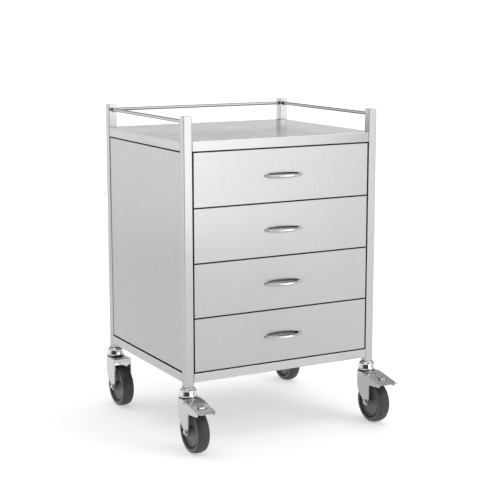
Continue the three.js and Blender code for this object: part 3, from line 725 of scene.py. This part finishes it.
def brake_pedal(corner):
    """Sloping foot plate with a raised tongue between slots, a hole, a turned-up lip and side lugs."""
    node = f"caster_{corner}_pedal"
    low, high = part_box(node)
    fork_low, fork_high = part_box(f"caster_{corner}_fork")
    centre = cup_levels(corner)[0]
    crown_top = fork_high.z - RACE_HEIGHT
    half = (fork_high.x - fork_low.x) / 2 - FORK_STEEL - 0.7 * MM
    start, reach = centre.y - ARM_START, low.y
    bend = reach + PEDAL_LIP
    rise, fall = crown_top + 1 * MM, crown_top - ARM_DROP - 1 * MM
    side = [(start, rise, 0), (bend, fall, 6 * MM), (reach, fall + PEDAL_LIP_RISE, 0),
            (reach, fall + PEDAL_LIP_RISE - PEDAL_STEEL, 0), (bend, fall - PEDAL_STEEL, 6 * MM),
            (start, rise - PEDAL_STEEL, 0)]
    made = as_object(node + "_plate", prism(rounded(side, 0, 6), "x", centre.x - half, centre.x + half),
                     MATERIALS["pedal_steel"])
    corner_cut = 7 * MM
    plan = [(centre.x - half, start + 1 * MM, 0), (centre.x - half, reach, corner_cut),
            (centre.x + half, reach, corner_cut), (centre.x + half, start + 1 * MM, 0)]
    carve(made, [prism(rounded(plan, 0, 6), "z", fall - 20 * MM, rise + 20 * MM)], "INTERSECT")
    lug = [(start, rise - 1 * MM, 0), (start - LUG_LENGTH, rise - 9 * MM, 2 * MM),
           (start - 8 * MM, rise - 14 * MM, 5 * MM), (start, rise - 14 * MM, 5 * MM)]
    lugs = []
    for way in (-1, 1):
        span = sorted((centre.x + way * half, centre.x + way * (half - PEDAL_STEEL)))
        lugs.append(prism(rounded(lug, 0, 4), "x", *span))
    slope = math.atan2(rise - fall, start - bend)
    along = (start + bend) / 2 - 6 * MM
    level = rise - (start - along) * math.tan(slope)
    fall_rate = math.tan(slope)
    tongue = [(along - 11 * MM, level - 11 * MM * fall_rate - 0.6 * MM, 0),
              (along - 10 * MM, level - 3 * MM * fall_rate + TONGUE_RISE, 1 * MM),
              (along + 8 * MM, level + 8 * MM * fall_rate + TONGUE_RISE, 2 * MM),
              (along + 11 * MM, level + 11 * MM * fall_rate - 0.6 * MM, 0)]
    bridge = prism(rounded(tongue, 0, 4), "x", centre.x - TONGUE_HALF, centre.x + TONGUE_HALF)
    pin_end = (fork_high.x - fork_low.x) / 2 + 1.6 * MM
    pin = [(0, -pin_end, 0), (PIVOT_RADIUS, -pin_end, 1 * MM),
           (PIVOT_RADIUS, pin_end, 1 * MM), (0, pin_end, 0)]
    pivot = Vector((centre.x, centre.y - PIVOT_FORWARD, crown_top - PIVOT_DROP))
    carve(made, lugs + [bridge, lathe(rounded(pin, 0, 3), "x", pivot, 24)], "UNION")
    slots = []
    for way in (-1, 1):
        low_x, high_x = sorted((centre.x + way * TONGUE_HALF, centre.x + way * (TONGUE_HALF + SLOT_WIDTH)))
        plan = [(low_x, along - SLOT_LENGTH / 2), (high_x, along - SLOT_LENGTH / 2),
                (high_x, along + SLOT_LENGTH / 2), (low_x, along + SLOT_LENGTH / 2)]
        slots.append(prism(rounded(plan, 1.5 * MM, 3), "z", fall - 9 * MM, rise + 9 * MM))
    hole = [(centre.x + x, start - 17 * MM + y) for x, y in arc((0, 0), 4 * MM, 0, 345, 23)]
    slots.append(prism(hole, "z", fall - 9 * MM, rise + 9 * MM))
    carve(made, slots)
    return place(round_edges(made, 0.4 * MM, 2), f"pedal_{corner}", node)


for corner in CORNERS:
    tyre(corner)
    wheel_core(corner)
    bearing_cup(corner)
    seal_ring(corner)
    fork(corner)
    axle_bolt(corner)
    if corner.startswith("front"):
        brake_pedal(corner)


# ---------------------------------------------------------------- finger pulls and guard rails

PULL_WALL = 1.2 * MM
PULL_TIP = 1.2 * MM
PULL_LIP_RISE = 3.5 * MM
PULL_FULLNESS = 0.62
PULL_STEPS = 40
PULL_SIDES = 48


def spindle(centre, half_length, half_height, front, rear):
    """An almond turned about its length, drawn out to its own reach at the front and at the rear."""
    bm = bmesh.new()
    rings = []
    for step in range(1, PULL_STEPS):
        place_along = -math.cos(math.pi * step / PULL_STEPS)
        along = half_length * place_along
        height = half_height * (1 - place_along ** 2) ** PULL_FULLNESS
        ring = []
        for side in range(PULL_SIDES):
            turn = 2 * math.pi * side / PULL_SIDES
            out = math.cos(turn)
            reach = (front if out > 0 else rear) / half_height
            offset = Vector((along, -out * height * reach, math.sin(turn) * height))
            ring.append(bm.verts.new(centre + offset))
        rings.append(ring)
    for back, ahead in zip(rings, rings[1:]):
        for side in range(PULL_SIDES):
            bm.faces.new((back[side - 1], back[side], ahead[side], ahead[side - 1]))
    for ring, way in ((rings[0], -1), (rings[-1], 1)):
        tip = bm.verts.new(centre + Vector((way * half_length, 0, 0)))
        for side in range(PULL_SIDES):
            bm.faces.new((ring[side - 1], ring[side], tip))
    bmesh.ops.recalc_face_normals(bm, faces=bm.faces)
    return bm


def finger_pull(index):
    """Pressed almond pull: a lip in front of the drawer, open at the top, and a hollow behind the face."""
    node = f"drawer_{index}_pull"
    low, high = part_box(node)
    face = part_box(f"drawer_{index}_front")[0].y
    centre = Vector(((low.x + high.x) / 2, face, (low.z + high.z) / 2))
    half_length, half_height = (high.x - low.x) / 2, (high.z - low.z) / 2
    front, rear = face - low.y, high.y - face
    outer = spindle(centre, half_length, half_height, front, rear)
    hollow = spindle(centre, half_length - PULL_TIP, half_height - PULL_WALL,
                     front - PULL_WALL, rear - PULL_WALL)
    made = as_object(node + "_shell", outer, MATERIALS["pull_steel"])
    inside = as_object("inside", hollow, MATERIALS["pull_inside"])
    carve(made, [inside])
    mouth = box_mesh((low.x, low.y - 1 * MM, centre.z + PULL_LIP_RISE), (high.x, face, high.z + 1 * MM))
    carve(made, [mouth])
    return place(round_edges(made, 0.35 * MM, 2), f"drawer_{index}", node)


WELD_FLARE = 2.0 * MM


def guard_rail(name, axis):
    """Round rod with a small weld fillet at each post."""
    node = "guard_rail_" + name
    low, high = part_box(node)
    centre = (low + high) / 2
    number = "xyz".index(axis)
    half = (high[number] - low[number]) / 2 + 0.2 * MM
    radius = (high.z - low.z) / 2
    profile = [(0, -half, 0), (radius + WELD_FLARE, -half, 0.6 * MM), (radius, -half + WELD_FLARE, 2.5 * MM),
               (radius, half - WELD_FLARE, 2.5 * MM), (radius + WELD_FLARE, half, 0.6 * MM), (0, half, 0)]
    bm = lathe(rounded(profile, 0, 5), axis, centre, 48)
    made = as_object(node + "_rod", bm, MATERIALS["rod_steel_" + axis])
    return place(round_edges(made, 0), "frame", node)


for index in range(1, 5):
    finger_pull(index)
for name, axis in (("rear", "x"), ("left", "y"), ("right", "y")):
    guard_rail(name, axis)


# ---------------------------------------------------------------- studio

def cabinet_centre():
    low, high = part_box("top_panel")
    return Vector(((low.x + high.x) / 2, (low.y + high.y) / 2, 0))


def floor():
    mesh = bpy.data.meshes.new("floor")
    bm = bmesh.new()
    bmesh.ops.create_circle(bm, cap_ends=True, segments=96, radius=FLOOR_RADIUS)
    bm.to_mesh(mesh)
    bm.free()
    made = bpy.data.objects.new("floor", mesh)
    bpy.context.scene.collection.objects.link(made)
    shader = Shader("floor_paper", (FLOOR_TONE,) * 3, 0.0, 0.9)
    shader.tint((FLOOR_TONE,) * 3, shader.noise(0.8, detail=2), 0.01)
    # painted light: the floor glows faintly, to keep its shadows pale
    shader.set("Emission Color", (1, 1, 1, 1))
    shader.set("Emission Strength", FLOOR_GLOW)
    mesh.materials.append(shader.material)
    return made


def softbox(name, position, target, size, power):
    light = bpy.data.lights.new(name, "AREA")
    light.shape = "RECTANGLE"
    light.size, light.size_y = size
    light.energy = power
    made = bpy.data.objects.new(name, light)
    made.location = position
    made.rotation_euler = (Vector(target) - Vector(position)).to_track_quat("-Z", "Y").to_euler()
    bpy.context.scene.collection.objects.link(made)
    return made


def world():
    """Even grey room, brighter or darker towards a few directions, chosen for the front view only."""
    made = bpy.data.worlds.new("studio")
    made.use_nodes = True
    tree = made.node_tree
    background = tree.nodes["Background"]
    direction = tree.nodes.new("ShaderNodeTexCoord").outputs["Generated"]
    total = None
    for towards, inner, outer, gain in WORLD_LOBES:
        dot = tree.nodes.new("ShaderNodeVectorMath")
        dot.operation = "DOT_PRODUCT"
        dot.inputs[1].default_value = Vector(towards).normalized()
        tree.links.new(direction, dot.inputs[0])
        lobe = tree.nodes.new("ShaderNodeMapRange")
        lobe.interpolation_type = "SMOOTHSTEP"
        lobe.inputs["From Min"].default_value = math.cos(math.radians(outer))
        lobe.inputs["From Max"].default_value = math.cos(math.radians(inner))
        lobe.inputs["To Min"].default_value = 0
        lobe.inputs["To Max"].default_value = gain
        tree.links.new(dot.outputs["Value"], lobe.inputs["Value"])
        add = tree.nodes.new("ShaderNodeMath")
        add.operation = "ADD"
        tree.links.new(lobe.outputs["Result"], add.inputs[0])
        if total is None:
            add.inputs[1].default_value = WORLD_STRENGTH
        else:
            tree.links.new(total, add.inputs[1])
        total = add.outputs["Value"]
    tree.links.new(total, background.inputs["Strength"])
    background.inputs["Color"].default_value = (1, 1, 1, 1)
    bpy.context.scene.world = made


def camera():
    data = bpy.data.cameras.new("camera")
    data.lens = CAMERA_LENS
    data.sensor_width = SENSOR
    data.clip_end = 100
    made = bpy.data.objects.new("camera", data)
    made.location = cabinet_centre() + CAMERA_OFFSET
    made.rotation_euler = (math.radians(90 + CAMERA_PITCH), 0, math.radians(-CAMERA_YAW))
    bpy.context.scene.collection.objects.link(made)
    bpy.context.scene.camera = made


floor()
world()
camera()
softbox("key", (2.4, -3.2, 2.6), (0, 0, 0.6), (2.0, 2.0), 40)
softbox("top", (0.5, 0.8, 4.2), (0.5, 0.6, 0), (6.0, 6.0), 90)
bpy.context.scene.view_settings.view_transform = "Standard"
